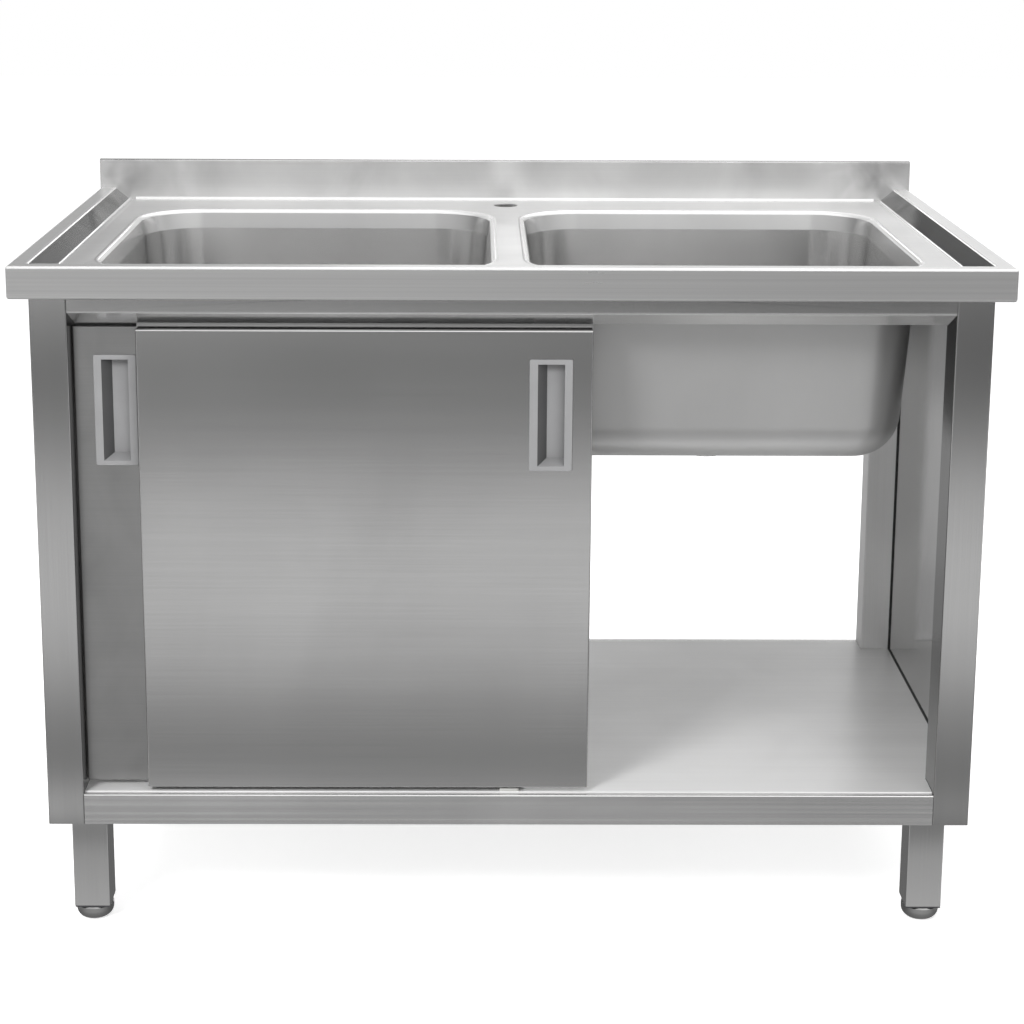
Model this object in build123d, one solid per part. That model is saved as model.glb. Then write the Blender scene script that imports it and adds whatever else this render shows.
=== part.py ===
from build123d import *
import math
import os

# Free-standing stainless kitchen sink unit with two bowls and a cupboard with two sliding doors.
# Millimetres. X runs across the front, Y from the front (-) to the back (+), Z up.
# The origin is on the floor, under the middle of the worktop. The front door stands slid open to the left.

# Whole unit
WIDTH = 1200.0
DEPTH = 700.0
HEIGHT = 850.0  # raised rim of the worktop above the floor
SHEET = 1.2  # worktop, bowls, posts and rails
THIN_SHEET = 1.0  # doors, side panels and shelf
FIT_GAP = 0.5  # clearance round pieces that are notched or cut to fit
BEND_RADIUS = 2.0  # outside radius of the folds

# Worktop and splashback
FASCIA_HEIGHT = 40.0
FASCIA_RETURN = 12.0
RIM_WIDTH = 22.0
SLOPE_WIDTH = 21.0
PLATE_DROP = 17.0
SPLASH_RISE = 42.0
SPLASH_THICKNESS = 12.0
TAP_HOLE_DIAMETER = 35.0
TAP_HOLE_FROM_SPLASH = 53.0
TAP_PLATE_WIDTH = 90.0
TAP_PLATE_LENGTH = 66.0
TAP_PLATE_THICKNESS = 2.5

# Bowls
BOWL_SIDE_LAND = 86.5  # from the side of the worktop to the bowl's opening
BOWL_BACK_LAND = 104.0  # from the splashback to the bowl's opening
BOWL_WEB = 47.0  # between the two openings
BOWL_DEPTH = 250.0
BOWL_CORNER = 80.0
BOWL_FLOOR_RADIUS = 55.0
BOWL_DRAFT = 4.3  # degrees
BOWL_LIP = 8.0
BOWL_LIP_RADIUS = 6.0
BOWL_TRACK_GAP = 11.0

# Waste outlets
WASTE_HOLE_DIAMETER = 51.0
WASTE_FLANGE_DIAMETER = 80.0
WASTE_FLANGE_THICKNESS = 1.5
WASTE_TAIL_DIAMETER = 47.8
WASTE_TAIL_WALL = 3.0
WASTE_TAIL_LENGTH = 44.0
WASTE_RELIEF_WIDTH = 2.0  # thread relief below the backnut
WASTE_RELIEF_DEPTH = 0.8
WASTE_GRID_THICKNESS = 1.5
WASTE_GRID_HOLE = 5.0
WASTE_GASKET_DIAMETER = 70.0
WASTE_GASKET_THICKNESS = 3.0
WASTE_NUT_WIDTH = 60.0
WASTE_NUT_THICKNESS = 9.0
THREAD_GAP = 0.1

# Cupboard frame
CAB_SIDE_INSET = 23.0
CAB_FRONT_INSET = 15.0
CAB_BOTTOM = 138.5
POST_WIDTH = 45.0
FRONT_POST_DEPTH = 55.0
REAR_POST_DEPTH = 45.0
POST_CAP = 3.0
FRONT_RAIL_SHOW = 18.0  # upright face of the front rail seen below the fascia
FRONT_RAIL_FLANGE = 40.0
RAIL_LIP_DEPTH = 18.5
RAIL_LIP_DROP = 16.0
RAIL_LIP_SLANT = 7.0  # how far the lip's ends draw in towards its lower edge
RAIL_LIP_ROUND = 4.0
REAR_RAIL_DEPTH = 9.0
REAR_RAIL_HEIGHT = 37.0
SIDE_RAIL_WIDTH = 39.0
SIDE_RAIL_HEIGHT = 26.0
SIDE_RAIL_FLANGE = 20.0
MIDDLE_CHANNEL_HEIGHT = 25.0
MIDDLE_CHANNEL_GAP = 2.5
FRAME_GAP = 1.0
PANEL_RETURN = 20.0

# Bottom shelf
SHELF_HEIGHT = 180.0
SHELF_FRONT_STEP = 7.0
SHELF_HEM_DEPTH = 12.0
SHELF_BACK_STEP = 10.0
SHELF_SIDE_TURN = 20.0
BOTTOM_RAIL_FLANGE = 30.0
STIFFENER_WIDTH = 50.0
STIFFENER_HEIGHT = 25.0
STIFFENER_SPACING = 340.0

# Legs and levelling feet
LEG_WIDTH = 45.0
LEG_WALL = 1.5
LEG_BOTTOM = 21.0
LEG_SIDE_INSET = 26.0
LEG_END_INSET = 14.0
GUSSET_WIDTH = 50.0
GUSSET_LENGTH = 94.0
GUSSET_CHAMFER = 30.0
GUSSET_THICKNESS = 3.0
INSERT_HEIGHT = 28.0
INSERT_FLANGE = 2.0
INSERT_INSET = 0.5
FOOT_DIAMETER = 47.0
FOOT_TOE_DIAMETER = 26.0
FOOT_HEIGHT = 18.5
FOOT_CHAMFER = 1.5
FOOT_BAND = 5.0  # upright band at the foot's widest part
STEM_DIAMETER = 10.0
STEM_TOP = 62.0
SHAFT_GAP = 0.06  # radial clearance of stems and axles in their bores

# Sliding doors
DOOR_SETBACK = 6.0
DOOR_THICKNESS = 16.0
DOOR_PITCH = 22.0  # from one door's face to the other's
DOOR_TOP_GAP = 6.0
DOOR_BOTTOM_GAP = 5.5
DOOR_END_GAP = 1.0
DOOR_OVERLAP = 38.0
DOOR_FLANGE_HEIGHT = 14.0
DOOR_TOP_RETURN = 7.0  # depth of the tray's top edge, in front of an open groove
DOOR_ROUND = 2.0
FRONT_DOOR_GAP = 80.0  # from the left post to the front door, which stands slid open
DOOR_SLOT_START = 7.0
DOOR_SLOT_WIDTH = 4.0

# Handles
HANDLE_WIDTH = 52.5
HANDLE_HEIGHT = 138.5
HANDLE_EDGE = 24.0
HANDLE_TOP = 35.0
HANDLE_PROUD = 2.0
HANDLE_SIDE_BORDER = 10.0
HANDLE_END_BORDER = 6.0
HANDLE_CUP_WALL = 2.0
HANDLE_POCKET_DEPTH = 11.0
HANDLE_SLOPE = 11.5
HANDLE_SILL = 8.0
HANDLE_ROUND = 1.2
HANDLE_CORNER = 2.2

# Hangers, wheels and track
HANGER_THICKNESS = 2.0
HANGER_WIDTH = 40.0
HANGER_INSET = 60.0  # from the door's end to the wheel
HANGER_LIFT = 1.0
HANGER_BOLT_SPACING = 24.0
HANGER_BOLT_HEIGHT = 7.5
BOLT_DIAMETER = 4.0
BOLT_HEAD_DIAMETER = 7.0
BOLT_HEAD_THICKNESS = 2.2
WHEEL_DIAMETER = 24.0
WHEEL_GROOVE_DIAMETER = 18.0
WHEEL_WIDTH = 7.5
WHEEL_SIDE_GAP = 0.5
WHEEL_RUN_GAP = 0.3
WHEEL_GROOVE_FLOOR = 2.5
WHEEL_GROOVE_MOUTH = 4.0
AXLE_DIAMETER = 5.0
AXLE_HEAD_DIAMETER = 9.0
AXLE_HEAD_THICKNESS = 1.5
RAIL_RISE = 20.0  # running edge above the doors' tops
RAIL_SHEET = 1.5
RAIL_LIP_HEIGHT = 4.7
RAIL_REACH = 10.5
TRACK_HEAD_GAP = 1.2
TRACK_END_GAP = 2.0
TRACK_SCREW_INSET = 52.0  # from the post to the outer screws
STOP_LENGTH = 12.0
STOP_HEIGHT = 9.0
STOP_PLAY = 0.5

# Bottom guide
GUIDE_LENGTH = 24.0
GUIDE_BASE = 3.5
GUIDE_FIN = 3.0
GUIDE_FIN_HEIGHT = 13.5
GUIDE_MARGIN = 2.0

# Places that follow from the sizes above
half_width = WIDTH / 2
front = -DEPTH / 2
back = DEPTH / 2
plate_top = HEIGHT - PLATE_DROP
plate_under = plate_top - SHEET
fascia_bottom = HEIGHT - FASCIA_HEIGHT
splash_face = back - SPLASH_THICKNESS
splash_top = HEIGHT + SPLASH_RISE

cab_side = half_width - CAB_SIDE_INSET
cab_front = front + CAB_FRONT_INSET
post_inner = cab_side - POST_WIDTH
front_post_back = cab_front + FRONT_POST_DEPTH
panel_face = cab_side - BEND_RADIUS
rail_web = cab_front + SHEET
rail_bend = fascia_bottom - FRONT_RAIL_SHOW
rail_lip_bottom = rail_bend - RAIL_LIP_DROP

door_faces = (cab_front + DOOR_SETBACK, cab_front + DOOR_SETBACK + DOOR_PITCH)
door_top = rail_lip_bottom - DOOR_TOP_GAP
door_bottom = SHELF_HEIGHT + DOOR_BOTTOM_GAP
door_width = post_inner - DOOR_END_GAP + DOOR_OVERLAP / 2
door_lefts = (FRONT_DOOR_GAP - post_inner, DOOR_END_GAP - post_inner)
bead_top = door_top + RAIL_RISE
axle_height = bead_top + WHEEL_GROOVE_DIAMETER / 2 + WHEEL_RUN_GAP
ledge_bottom = bead_top - RAIL_LIP_HEIGHT
track_head = axle_height + WHEEL_DIAMETER / 2 + TRACK_HEAD_GAP
wheel_offset = DOOR_THICKNESS + HANGER_THICKNESS + WHEEL_SIDE_GAP
bead_offset = wheel_offset + WHEEL_WIDTH / 2 - RAIL_SHEET / 2
track_back = door_faces[1] + bead_offset + RAIL_REACH

bowl_front = track_back + BOWL_TRACK_GAP
bowl_back = splash_face - BOWL_BACK_LAND
bowl_length = bowl_back - bowl_front
bowl_width = half_width - BOWL_SIDE_LAND - BOWL_WEB / 2
bowl_x = (BOWL_WEB + bowl_width) / 2
bowl_y = (bowl_front + bowl_back) / 2
bowl_floor = plate_top - BOWL_DEPTH
waste_gasket_bottom = bowl_floor - SHEET - WASTE_GASKET_THICKNESS
waste_nut_bottom = waste_gasket_bottom - WASTE_NUT_THICKNESS

rear_rail_front = bowl_back + BOWL_LIP_RADIUS + FRAME_GAP
cab_back = rear_rail_front + REAR_RAIL_DEPTH
rear_post_front = cab_back - REAR_POST_DEPTH
shelf_front = cab_front + SHELF_FRONT_STEP
shelf_back = cab_back - SHELF_BACK_STEP
shelf_under = SHELF_HEIGHT - THIN_SHEET
front_flange_top = SHELF_HEIGHT - 2 * THIN_SHEET

leg_x = cab_side - LEG_SIDE_INSET - LEG_WIDTH / 2
leg_ys = {
    "front": cab_front + LEG_END_INSET + LEG_WIDTH / 2,
    "rear": cab_back - LEG_END_INSET - LEG_WIDTH / 2,
}
sides = {"left": -1, "right": 1}


def block(x0, x1, y0, y1, z0, z1):
    """A rectangular block between two corners."""
    return Pos((x0 + x1) / 2, (y0 + y1) / 2, (z0 + z1) / 2) * Box(x1 - x0, y1 - y0, z1 - z0)


def folded(points, thickness):
    """The section of a folded sheet, whose thickness lies to the left of the line of points."""
    line = [Vector(*p) for p in points]
    ways = [(b - a).normalized() for a, b in zip(line, line[1:])]
    normals = [Vector(-way.Y, way.X) for way in ways]
    shifts = [normals[0]]
    for before, after in zip(normals, normals[1:]):
        shifts.append((before + after) / (1 + before.dot(after)))
    shifts.append(normals[-1])
    offset = [p + shift * thickness for p, shift in zip(line, shifts)]
    return make_face(Polyline(*line, *reversed(offset), close=True))


def along_x(section, x0, x1):
    """A section drawn as (Y, Z), run from x0 to x1."""
    return extrude(Plane.YZ.offset(x0) * section, amount=x1 - x0)


def along_y(section, y0, y1):
    """A section drawn as (X, Z), run from y0 to y1."""
    return extrude(Plane.XZ.offset(-y1) * section, amount=y1 - y0)


def round_bar(diameter, y0, y1, x, z):
    """A round bar that lies along Y."""
    return Pos(x, (y0 + y1) / 2, z) * Rot(90, 0, 0) * Cylinder(diameter / 2, y1 - y0)


def on_side(shape, side):
    """A piece modelled for the right-hand side, or its mirror image for the left."""
    return shape if side > 0 else mirror(shape, about=Plane.YZ)


def rounded(width, length, radius, z):
    """A flat rounded rectangle over the bowl's centre, at a height."""
    return Pos(bowl_x, bowl_y, z) * RectangleRounded(width, length, radius)


def write(name, shape):
    """Writes one node. A list of shapes becomes a group of separate solids."""
    export_step(Compound(children=shape) if isinstance(shape, list) else shape, f"parts/{name}.step")


# ---------------------------------------------------------------- worktop, splashback and bowls


def dish(grow, drop):
    """The shallow recess of the worktop: sloped at the front and sides, and open to the splashback."""
    beyond = splash_face + RIM_WIDTH
    levels = []
    for inset, z in ((RIM_WIDTH + SLOPE_WIDTH, plate_top - drop), (RIM_WIDTH, HEIGHT - drop)):
        x = half_width - inset + grow
        y = front + inset - grow
        levels.append(Pos(0, (y + beyond) / 2, z) * Rectangle(2 * x, beyond - y))
    return loft(levels, ruled=True)


def worktop():
    """The folded top sheet: fascia, raised rim, slope and plate, with the bowls' and tap's holes."""
    outer = block(-half_width, half_width, front, splash_face, fascia_bottom, HEIGHT)
    folds = outer.edges().filter_by(Axis.X).sort_by(Axis.Z)[-2:].sort_by(Axis.Y)[:1]
    folds += outer.edges().filter_by(Axis.Y).sort_by(Axis.Z)[-2:]
    folds += outer.edges().filter_by(Axis.Z).sort_by(Axis.Y)[:2]
    outer = fillet(folds, BEND_RADIUS)
    # Moving a folded line down by the sheet's thickness also moves its corners outward by this much.
    shift = SHEET * math.tan(math.atan2(PLATE_DROP, SLOPE_WIDTH) / 2)
    inner_x = half_width - SHEET
    inside = block(-inner_x, inner_x, front + SHEET, back, 0, HEIGHT - SHEET)
    top = outer - (inside - dish(shift, SHEET)) - dish(0, 0)
    top -= block(-inner_x, inner_x, front + SHEET, back, 0, fascia_bottom + SHEET)
    returns = block(-inner_x, inner_x, front + SHEET, splash_face, fascia_bottom, fascia_bottom + SHEET)
    hollow_x = half_width - FASCIA_RETURN
    returns -= block(-hollow_x, hollow_x, front + FASCIA_RETURN, back, 0, HEIGHT)
    top += returns
    hole = rounded(bowl_width + 2 * BOWL_LIP, bowl_length + 2 * BOWL_LIP, BOWL_CORNER + BOWL_LIP, plate_under)
    for side in sides.values():
        top -= on_side(extrude(hole, amount=2 * SHEET, both=True), side)
    return top - tap_drill()


def tap_drill():
    """The drill for the tap's hole through the worktop and the plate below it."""
    return Pos(0, splash_face - TAP_HOLE_FROM_SPLASH, plate_top) * Cylinder(TAP_HOLE_DIAMETER / 2, PLATE_DROP)


def splashback():
    """The folded upstand along the back, with closed ends and a back sheet down to the fascia's edge."""
    outer = block(-half_width, half_width, splash_face, back, fascia_bottom, splash_top)
    outer = fillet(outer.edges().filter_by(Axis.X).sort_by(Axis.Z)[-2:], BEND_RADIUS)
    inner_x = half_width - SHEET
    inside = block(-inner_x, inner_x, splash_face + SHEET, back - SHEET, 0, splash_top - SHEET)
    below = block(-inner_x, inner_x, splash_face, back - SHEET, 0, plate_under)
    return outer - inside - below


def tub(extra, depth):
    """The bowl's tapered body with its rounded floor, grown by a wall."""
    mouth = rounded(bowl_width + 2 * extra, bowl_length + 2 * extra, BOWL_CORNER + extra, plate_top)
    body = extrude(mouth, amount=depth, dir=(0, 0, -1), taper=BOWL_DRAFT)
    return fillet(body.faces().sort_by(Axis.Z)[0].edges(), BOWL_FLOOR_RADIUS + extra)


def ring_edges(body, z, extra):
    """The edges at one height that run round the bowl's mouth, grown by a wall."""
    found = []
    for edge in body.edges().filter_by_position(Axis.Z, z - FIT_GAP / 4, z + FIT_GAP / 4):
        box = edge.bounding_box()
        reach = max(box.max.X - bowl_x, bowl_x - box.min.X) - (bowl_width / 2 + extra)
        reach = max(reach, max(box.max.Y - bowl_y, bowl_y - box.min.Y) - (bowl_length / 2 + extra))
        if reach < SHEET / 2:
            found.append(edge)
    return found


def bowl():
    """A pressed bowl with a rolled edge and a narrow lip that is welded flush into the worktop."""
    lip = rounded(bowl_width + 2 * BOWL_LIP, bowl_length + 2 * BOWL_LIP, BOWL_CORNER + BOWL_LIP, plate_top)
    body = extrude(lip, amount=SHEET, dir=(0, 0, -1)) + tub(SHEET, BOWL_DEPTH + SHEET)
    body = fillet(ring_edges(body, plate_under, SHEET), BOWL_LIP_RADIUS - SHEET)
    body -= tub(0, BOWL_DEPTH)
    body = fillet(ring_edges(body, plate_top, 0), BOWL_LIP_RADIUS)
    return body - Pos(bowl_x, bowl_y, bowl_floor) * Cylinder(WASTE_HOLE_DIAMETER / 2, BOWL_FLOOR_RADIUS)


def tap_plate():
    """The stiffening plate welded under the tap's hole."""
    y = splash_face - TAP_HOLE_FROM_SPLASH
    plate = block(
        -TAP_PLATE_WIDTH / 2,
        TAP_PLATE_WIDTH / 2,
        y - TAP_PLATE_LENGTH / 2,
        y + TAP_PLATE_LENGTH / 2,
        plate_under - TAP_PLATE_THICKNESS,
        plate_under,
    )
    return plate - tap_drill()


# ---------------------------------------------------------------- waste outlets


def disc(diameter, bottom, height):
    """A disc on the right-hand bowl's waste axis."""
    return Pos(bowl_x, bowl_y, bottom + height / 2) * Cylinder(diameter / 2, height)


def waste_body():
    """The outlet: a flange on the bowl's floor, a perforated grid and a threaded tail."""
    bore = WASTE_TAIL_DIAMETER - 2 * WASTE_TAIL_WALL
    top = bowl_floor + WASTE_FLANGE_THICKNESS
    tail_bottom = bowl_floor - WASTE_TAIL_LENGTH
    body = disc(WASTE_FLANGE_DIAMETER, bowl_floor, WASTE_FLANGE_THICKNESS)
    body = fillet(body.edges().sort_by(Axis.Z)[-1:], WASTE_FLANGE_THICKNESS / 2)
    body += disc(WASTE_TAIL_DIAMETER, tail_bottom, WASTE_TAIL_LENGTH)
    body -= disc(bore, tail_bottom, top - tail_bottom - WASTE_GRID_THICKNESS)
    relief = waste_nut_bottom - 2 * WASTE_RELIEF_WIDTH
    core = disc(WASTE_TAIL_DIAMETER - 2 * WASTE_RELIEF_DEPTH, relief, WASTE_RELIEF_WIDTH)
    body -= disc(WASTE_TAIL_DIAMETER, relief, WASTE_RELIEF_WIDTH) - core
    for count, radius in ((1, 0), (6, bore * 0.2), (12, bore * 0.38)):
        for turn in range(count):
            angle = 2 * math.pi * turn / count
            drill = disc(WASTE_GRID_HOLE, bowl_floor - WASTE_GRID_THICKNESS, 4 * WASTE_GRID_THICKNESS)
            body -= Pos(radius * math.cos(angle), radius * math.sin(angle), 0) * drill
    return body


def waste_gasket():
    """The rubber washer under the bowl."""
    ring = disc(WASTE_GASKET_DIAMETER, waste_gasket_bottom, WASTE_GASKET_THICKNESS)
    return ring - disc(WASTE_TAIL_DIAMETER + 2 * THREAD_GAP, waste_gasket_bottom, WASTE_GASKET_THICKNESS)


def waste_nut():
    """The backnut that pulls the outlet down onto the bowl."""
    hexagon = RegularPolygon(WASTE_NUT_WIDTH / 2, 6, major_radius=False)
    nut = extrude(Pos(bowl_x, bowl_y, waste_nut_bottom) * hexagon, amount=WASTE_NUT_THICKNESS)
    return nut - disc(WASTE_TAIL_DIAMETER + 2 * THREAD_GAP, waste_nut_bottom, WASTE_NUT_THICKNESS)


# ---------------------------------------------------------------- cupboard frame


def post(y0, y1):
    """A square corner post, closed at its foot."""
    outer = block(post_inner, cab_side, y0, y1, CAB_BOTTOM, plate_under)
    outer = fillet(outer.edges().filter_by(Axis.Z), BEND_RADIUS)
    floor = CAB_BOTTOM + POST_CAP
    inside = block(post_inner + SHEET, cab_side - SHEET, y0 + SHEET, y1 - SHEET, floor, HEIGHT)
    return outer - inside


def side_panel():
    """The closed side between the posts, turned inward at the bottom."""
    inner = panel_face - PANEL_RETURN
    line = [(inner, CAB_BOTTOM), (panel_face, CAB_BOTTOM), (panel_face, plate_under)]
    return along_y(folded(line, THIN_SHEET), front_post_back, rear_post_front)


def top_front_rail():
    """The rail over the doors: an upright face, a flange above and a sloping lip with slanted ends below."""
    line = [
        (cab_front + FRONT_RAIL_FLANGE, plate_under),
        (cab_front, plate_under),
        (cab_front, rail_bend),
        (cab_front + RAIL_LIP_DEPTH, rail_lip_bottom),
    ]
    rail = along_x(folded(line, SHEET), -post_inner, post_inner)
    folds = rail.edges().filter_by(Axis.X)
    rail = fillet(folds.sort_by_distance((0, cab_front, rail_bend))[0], RAIL_LIP_ROUND)
    folds = rail.edges().filter_by(Axis.X)
    rail = fillet(folds.sort_by_distance((0, rail_web, rail_bend))[0], RAIL_LIP_ROUND - SHEET)
    corner = [
        (post_inner, rail_bend - SHEET),
        (post_inner, rail_lip_bottom - SHEET),
        (post_inner - RAIL_LIP_SLANT, rail_lip_bottom - SHEET),
    ]
    cut = along_y(make_face(Polyline(*corner, close=True)), front, front_post_back)
    rail -= [on_side(cut, side) for side in sides.values()]
    return rail - screw_drills()


def top_rear_rail():
    """A narrow channel between the rear posts, just behind the bowls."""
    bottom = plate_under - REAR_RAIL_HEIGHT
    line = [
        (rear_rail_front, bottom),
        (cab_back, bottom),
        (cab_back, plate_under),
        (rear_rail_front, plate_under),
    ]
    return along_x(folded(line, SHEET), -post_inner, post_inner)


def side_rail():
    """The channel that carries the worktop along each side."""
    outer = panel_face - THIN_SHEET
    bottom = plate_under - SIDE_RAIL_HEIGHT
    line = [
        (outer - SIDE_RAIL_FLANGE, bottom),
        (outer, bottom),
        (outer, plate_under),
        (outer - SIDE_RAIL_WIDTH, plate_under),
    ]
    return along_y(folded(line, SHEET), front_post_back, rear_post_front)


def middle_channel():
    """The channel under the strip of worktop between the bowls."""
    half = BOWL_WEB / 2 - BOWL_LIP_RADIUS - MIDDLE_CHANNEL_GAP
    bottom = plate_under - MIDDLE_CHANNEL_HEIGHT
    line = [(half, bottom), (half, plate_under), (-half, plate_under), (-half, bottom)]
    return along_y(folded(line, SHEET), track_back + FRAME_GAP, rear_rail_front)


def bottom_front_rail():
    """The angle below the doors, flush with the posts."""
    line = [
        (cab_front + BOTTOM_RAIL_FLANGE, front_flange_top),
        (cab_front, front_flange_top),
        (cab_front, CAB_BOTTOM),
    ]
    rail = along_x(folded(line, SHEET), -post_inner, post_inner)
    fold = rail.edges().filter_by(Axis.X).group_by(Axis.Y)[0].sort_by(Axis.Z)[-1:]
    return fillet(fold, BEND_RADIUS)


def bottom_rear_rail():
    """The angle that carries the shelf's back edge."""
    line = [
        (cab_back, CAB_BOTTOM),
        (cab_back, shelf_under),
        (cab_back - BOTTOM_RAIL_FLANGE, shelf_under),
    ]
    return along_x(folded(line, SHEET), -post_inner, post_inner)


def shelf():
    """The bottom shelf, notched round the posts, with a hemmed front edge and turned-down sides."""
    side = panel_face - THIN_SHEET - FIT_GAP
    sheet = block(-side, side, shelf_front, shelf_back, shelf_under, SHELF_HEIGHT)
    for way in sides.values():
        for y0, y1 in ((front, front_post_back + FIT_GAP), (rear_post_front - FIT_GAP, back)):
            sheet -= on_side(block(post_inner - FIT_GAP, half_width, y0, y1, 0, HEIGHT), way)
        turn = block(
            side - THIN_SHEET,
            side,
            front_post_back + FIT_GAP,
            rear_post_front - FIT_GAP,
            SHELF_HEIGHT - SHELF_SIDE_TURN,
            SHELF_HEIGHT,
        )
        sheet += on_side(turn, way)
    hem_x = post_inner - FIT_GAP
    hem_back = shelf_front + SHELF_HEM_DEPTH
    sheet += block(-hem_x, hem_x, shelf_front, hem_back, front_flange_top, shelf_under)
    fold = sheet.edges().filter_by(Axis.X).group_by(Axis.Y)[0].sort_by(Axis.Z)[-1:]
    return fillet(fold, THIN_SHEET)


def shelf_stiffener(side):
    """A channel under the shelf, from the front rail's flange to the rear rail's."""
    outer = (STIFFENER_SPACING + STIFFENER_WIDTH) / 2
    inner = outer - STIFFENER_WIDTH
    bottom = shelf_under - STIFFENER_HEIGHT
    line = [(outer, bottom), (outer, shelf_under), (inner, shelf_under), (inner, bottom)]
    y0 = cab_front + BOTTOM_RAIL_FLANGE + FIT_GAP
    y1 = cab_back - BOTTOM_RAIL_FLANGE - FIT_GAP
    return on_side(along_y(folded(line, THIN_SHEET), y0, y1), side)


# ---------------------------------------------------------------- legs and feet


def gusset(end):
    """The plate inside a bottom corner, to which the leg is welded."""
    x0 = post_inner - GUSSET_WIDTH
    y0 = rail_web if end == "front" else cab_back - SHEET - GUSSET_LENGTH
    plate = block(x0, post_inner, y0, y0 + GUSSET_LENGTH, CAB_BOTTOM, CAB_BOTTOM + GUSSET_THICKNESS)
    corners = plate.edges().filter_by(Axis.Z).group_by(Axis.X)[0].sort_by(Axis.Y)
    return chamfer(corners[-1:] if end == "front" else corners[:1], GUSSET_CHAMFER)


def leg(x, y):
    """A square leg tube below the cupboard."""
    half = LEG_WIDTH / 2
    outer = block(x - half, x + half, y - half, y + half, LEG_BOTTOM, CAB_BOTTOM)
    outer = fillet(outer.edges().filter_by(Axis.Z), BEND_RADIUS)
    bore = half - LEG_WALL
    return outer - block(x - bore, x + bore, y - bore, y + bore, 0, HEIGHT)


def leg_insert(x, y):
    """The plastic insert in the leg's end, bored for the foot's stem."""
    plug = LEG_WIDTH - 2 * LEG_WALL - 2 * THREAD_GAP
    rim = LEG_WIDTH - 2 * INSERT_INSET
    body = block(-plug / 2, plug / 2, -plug / 2, plug / 2, LEG_BOTTOM, LEG_BOTTOM + INSERT_HEIGHT)
    body += block(-rim / 2, rim / 2, -rim / 2, rim / 2, LEG_BOTTOM - INSERT_FLANGE, LEG_BOTTOM)
    body -= Cylinder(STEM_DIAMETER / 2 + SHAFT_GAP, HEIGHT)
    return Pos(x, y, 0) * body


def foot(x, y):
    """A levelling foot: a rounded metal cup on a stem, screwed fully in."""
    rim = FOOT_DIAMETER / 2
    toe = FOOT_TOE_DIAMETER / 2
    band_bottom = FOOT_HEIGHT - FOOT_CHAMFER - FOOT_BAND
    stem = STEM_DIAMETER / 2
    outline = Polyline((toe, 0), (0, 0), (0, STEM_TOP), (stem, STEM_TOP), (stem, FOOT_HEIGHT))
    outline += Polyline(
        (stem, FOOT_HEIGHT),
        (rim - FOOT_CHAMFER, FOOT_HEIGHT),
        (rim, FOOT_HEIGHT - FOOT_CHAMFER),
        (rim, band_bottom),
    )
    outline += TangentArc((rim, band_bottom), (toe, 0), tangent=(0, -1))
    body = revolve(Plane.XZ * make_face(outline), axis=Axis.Z)
    return Pos(x, y, 0) * body


# ---------------------------------------------------------------- sliding doors


def handle_place(door):
    """The handle's left edge and top on the front door (0) or the rear door (1)."""
    left = door_lefts[door]
    x = left + door_width - HANDLE_EDGE - HANDLE_WIDTH if door == 0 else left + HANDLE_EDGE
    return x, door_top - HANDLE_TOP


def cup_block(door, grow, depth):
    """The block that the handle's cup fills behind the door's face, grown on all its sides."""
    x, z = handle_place(door)
    side = HANDLE_SIDE_BORDER - HANDLE_CUP_WALL - grow
    end = HANDLE_END_BORDER - HANDLE_CUP_WALL - grow
    y = door_faces[door]
    return block(x + side, x + HANDLE_WIDTH - side, y, y + depth, z - HANDLE_HEIGHT + end, z - end)


def door_outer(door):
    """The door's front tray: returns round its edges, a short one at the top, and a cut-out for the handle."""
    x0 = door_lefts[door]
    x1 = x0 + door_width
    y0 = door_faces[door]
    y1 = y0 + DOOR_THICKNESS - THIN_SHEET
    tray = block(x0, x1, y0, y1, door_bottom, door_top)
    tray = fillet(tray.faces().sort_by(Axis.Y)[0].edges(), DOOR_ROUND)
    hollow = block(
        x0 + THIN_SHEET,
        x1 - THIN_SHEET,
        y0 + THIN_SHEET,
        y1,
        door_bottom + THIN_SHEET,
        door_top - THIN_SHEET,
    )
    tray -= fillet(hollow.faces().sort_by(Axis.Y)[0].edges(), DOOR_ROUND - THIN_SHEET)
    tray -= block(x0 + THIN_SHEET, x1 - THIN_SHEET, y0 + DOOR_TOP_RETURN, y1, door_top - THIN_SHEET, door_top)
    tray -= block(
        x0 + THIN_SHEET,
        x1 - THIN_SHEET,
        y0 + DOOR_SLOT_START,
        y1,
        door_bottom,
        door_bottom + THIN_SHEET,
    )
    return tray - cup_block(door, FIT_GAP, THIN_SHEET)


def door_inner(door):
    """The door's back sheet, which rises above the door as the flange that it hangs from."""
    x0 = door_lefts[door]
    x1 = x0 + door_width
    y1 = door_faces[door] + DOOR_THICKNESS
    y0 = y1 - THIN_SHEET
    sheet = block(x0, x1, y0, y1, door_bottom, door_top + DOOR_FLANGE_HEIGHT)
    slot_end = door_faces[door] + DOOR_SLOT_START + DOOR_SLOT_WIDTH
    turn_x0 = x0 + THIN_SHEET + FIT_GAP
    turn_x1 = x1 - THIN_SHEET - FIT_GAP
    sheet += block(turn_x0, turn_x1, slot_end, y0, door_bottom, door_bottom + THIN_SHEET)
    for x in hanger_places(door):
        sheet -= bolt_drills(door, x)
    return sheet


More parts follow.
